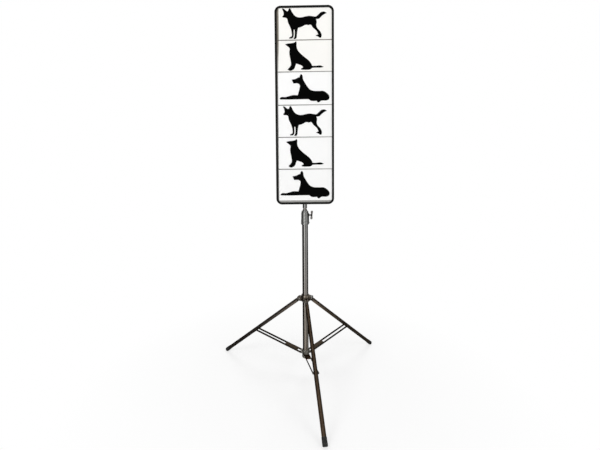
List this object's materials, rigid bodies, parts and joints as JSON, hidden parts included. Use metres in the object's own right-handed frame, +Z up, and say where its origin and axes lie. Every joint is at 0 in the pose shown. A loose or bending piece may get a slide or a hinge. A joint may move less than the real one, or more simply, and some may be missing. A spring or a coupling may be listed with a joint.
{
  "type": "dog training sign board",
  "caption": "Tall framed board of stacked white panels with black dog figures, on a folding three-leg stand with sliding hub, braces, clamped riser and lift-off socket.",
  "frame": {"origin": "on the floor, under the middle of the bounding box of the whole thing at rest", "axes": "+Z up along the column, -Y the way the pictures face, +X to the right as the pictures are seen"},
  "size_m": [0.8668, 0.7882, 1.8415],
  "materials": {
    "chromed_tube": "bright chrome plate, lightly worn",
    "dark_chromed_tube": "dark bronze-toned plate",
    "bright_steel": "bright zinc plate",
    "cast_alloy": "as cast, tumbled",
    "white_nylon": "moulded nylon",
    "black_rubber": "moulded rubber",
    "black_rim": "satin black",
    "backing_board": "grey painted fibreboard",
    "grey_rail": "satin grey",
    "white_panel": "smooth white",
    "black_vinyl": "cut black film"
  },
  "bodies": {
    "column": {"column_tube": "chromed_tube", "column_end_plug": "white_nylon", "lower_collar": "cast_alloy", "brace_pin_left": "bright_steel", "brace_pin_right": "bright_steel", "brace_pin_front": "bright_steel", "clamp_collar": "cast_alloy", "guide_bush": "white_nylon"},
    "hub": {"leg_hub": "cast_alloy", "hub_pin_left": "bright_steel", "hub_pin_right": "bright_steel", "hub_pin_front": "bright_steel"},
    "hub_knob": {"hub_lock_knob": "bright_steel"},
    "leg_left": {"leg_fitting_left": "cast_alloy", "leg_tube_left": "dark_chromed_tube", "leg_bush_left": "bright_steel", "foot_left": "black_rubber"},
    "leg_right": {"leg_fitting_right": "cast_alloy", "leg_tube_right": "dark_chromed_tube", "leg_bush_right": "bright_steel", "foot_right": "black_rubber"},
    "leg_front": {"leg_fitting_front": "cast_alloy", "leg_tube_front": "dark_chromed_tube", "leg_bush_front": "bright_steel", "foot_front": "black_rubber"},
    "brace_left": {"brace_left": "dark_chromed_tube"},
    "brace_right": {"brace_right": "dark_chromed_tube"},
    "brace_front": {"brace_front": "dark_chromed_tube"},
    "clamp_screw": {"clamp_t_screw": "bright_steel"},
    "riser_slider": {"riser_guide_plug": "white_nylon"},
    "riser": {"riser_tube": "chromed_tube", "spigot": "bright_steel"},
    "board": {"socket_bracket": "chromed_tube", "rim": "black_rim", "backing_board": "backing_board", "stop_rail": "grey_rail", "bottom_sill": "grey_rail", "divider_1": "grey_rail", "divider_2": "grey_rail", "divider_3": "grey_rail", "divider_4": "grey_rail", "divider_5": "grey_rail", "picture_panel_1": "white_panel", "picture_panel_2": "white_panel", "picture_panel_3": "white_panel", "picture_panel_4": "white_panel", "picture_panel_5": "white_panel", "picture_panel_6": "white_panel", "figure_1_lying": "black_vinyl", "figure_2_sitting": "black_vinyl", "figure_3_standing": "black_vinyl", "figure_4_lying": "black_vinyl", "figure_5_sitting": "black_vinyl", "figure_6_standing": "black_vinyl", "bracket_screw_1": "bright_steel", "bracket_screw_2": "bright_steel", "bracket_screw_3": "bright_steel", "bracket_screw_4": "bright_steel"},
    "socket_knob": {"socket_screw": "bright_steel"}
  },
  "joints": [
    {"name": "hub_slide", "type": "slide", "parent": "column", "child": "hub", "axis": [0, 0, 1], "range_m": [0, 0.333]},
    {"name": "hub_knob_turn", "type": "hinge", "parent": "hub", "child": "hub_knob", "pos_m": [0.02019, 0.10531, 0.403], "axis": [0.9041, -0.4274, 0], "range_deg": [0, 360]},
    {"name": "leg_left_fold", "type": "hinge", "parent": "hub", "child": "leg_left", "pos_m": [-0.00874, 0.11898, 0.387], "axis": [-0.4274, -0.9041, 0], "range_deg": [0, 50.5]},
    {"name": "leg_right_fold", "type": "hinge", "parent": "hub", "child": "leg_right", "pos_m": [0.0465, 0.12352, 0.387], "axis": [-0.5693, 0.8221, 0], "range_deg": [0, 50.5]},
    {"name": "leg_front_fold", "type": "hinge", "parent": "hub", "child": "leg_front", "pos_m": [0.02281, 0.07341, 0.387], "axis": [0.9966, 0.0819, 0], "range_deg": [0, 50.5]},
    {"name": "brace_left_fold", "type": "hinge", "parent": "column", "child": "brace_left", "pos_m": [-0.00015, 0.11492, 0.105], "axis": [0.4274, 0.9041, 0], "range_deg": [0, 74.4]},
    {"name": "brace_right_fold", "type": "hinge", "parent": "column", "child": "brace_right", "pos_m": [0.03869, 0.11811, 0.105], "axis": [0.5693, -0.8221, 0], "range_deg": [0, 74.4]},
    {"name": "brace_front_fold", "type": "hinge", "parent": "column", "child": "brace_front", "pos_m": [0.02203, 0.08288, 0.105], "axis": [-0.9966, -0.0819, 0], "range_deg": [0, 74.4]},
    {"name": "clamp_screw_turn", "type": "hinge", "parent": "column", "child": "clamp_screw", "pos_m": [0.02019, 0.10531, 0.82118], "axis": [1, 0, 0], "range_deg": [0, 360]},
    {"name": "riser_slide", "type": "slide", "parent": "column", "child": "riser_slider", "axis": [0, 0, 1], "range_m": [0, 0.6]},
    {"name": "riser_turn", "type": "hinge", "parent": "riser_slider", "child": "riser", "pos_m": [0.02019, 0.10531, 0.12], "axis": [0, 0, 1], "continuous": true},
    {"name": "board_lift", "type": "slide", "parent": "riser", "child": "board", "axis": [0, 0, 1], "range_m": [0, 0.06]},
    {"name": "socket_screw_turn", "type": "hinge", "parent": "board", "child": "socket_knob", "pos_m": [0.02019, 0.10531, 0.89648], "axis": [0, 1, 0], "range_deg": [0, 360]}
  ],
  "couplings": [
    {"joint": "leg_left_fold", "follows": "hub_slide", "rad_per_m": 2.634},
    {"joint": "leg_right_fold", "follows": "hub_slide", "rad_per_m": 2.634},
    {"joint": "leg_front_fold", "follows": "hub_slide", "rad_per_m": 2.634},
    {"joint": "brace_left_fold", "follows": "hub_slide", "rad_per_m": 3.8838},
    {"joint": "brace_right_fold", "follows": "hub_slide", "rad_per_m": 3.8838},
    {"joint": "brace_front_fold", "follows": "hub_slide", "rad_per_m": 3.8838}
  ]
}
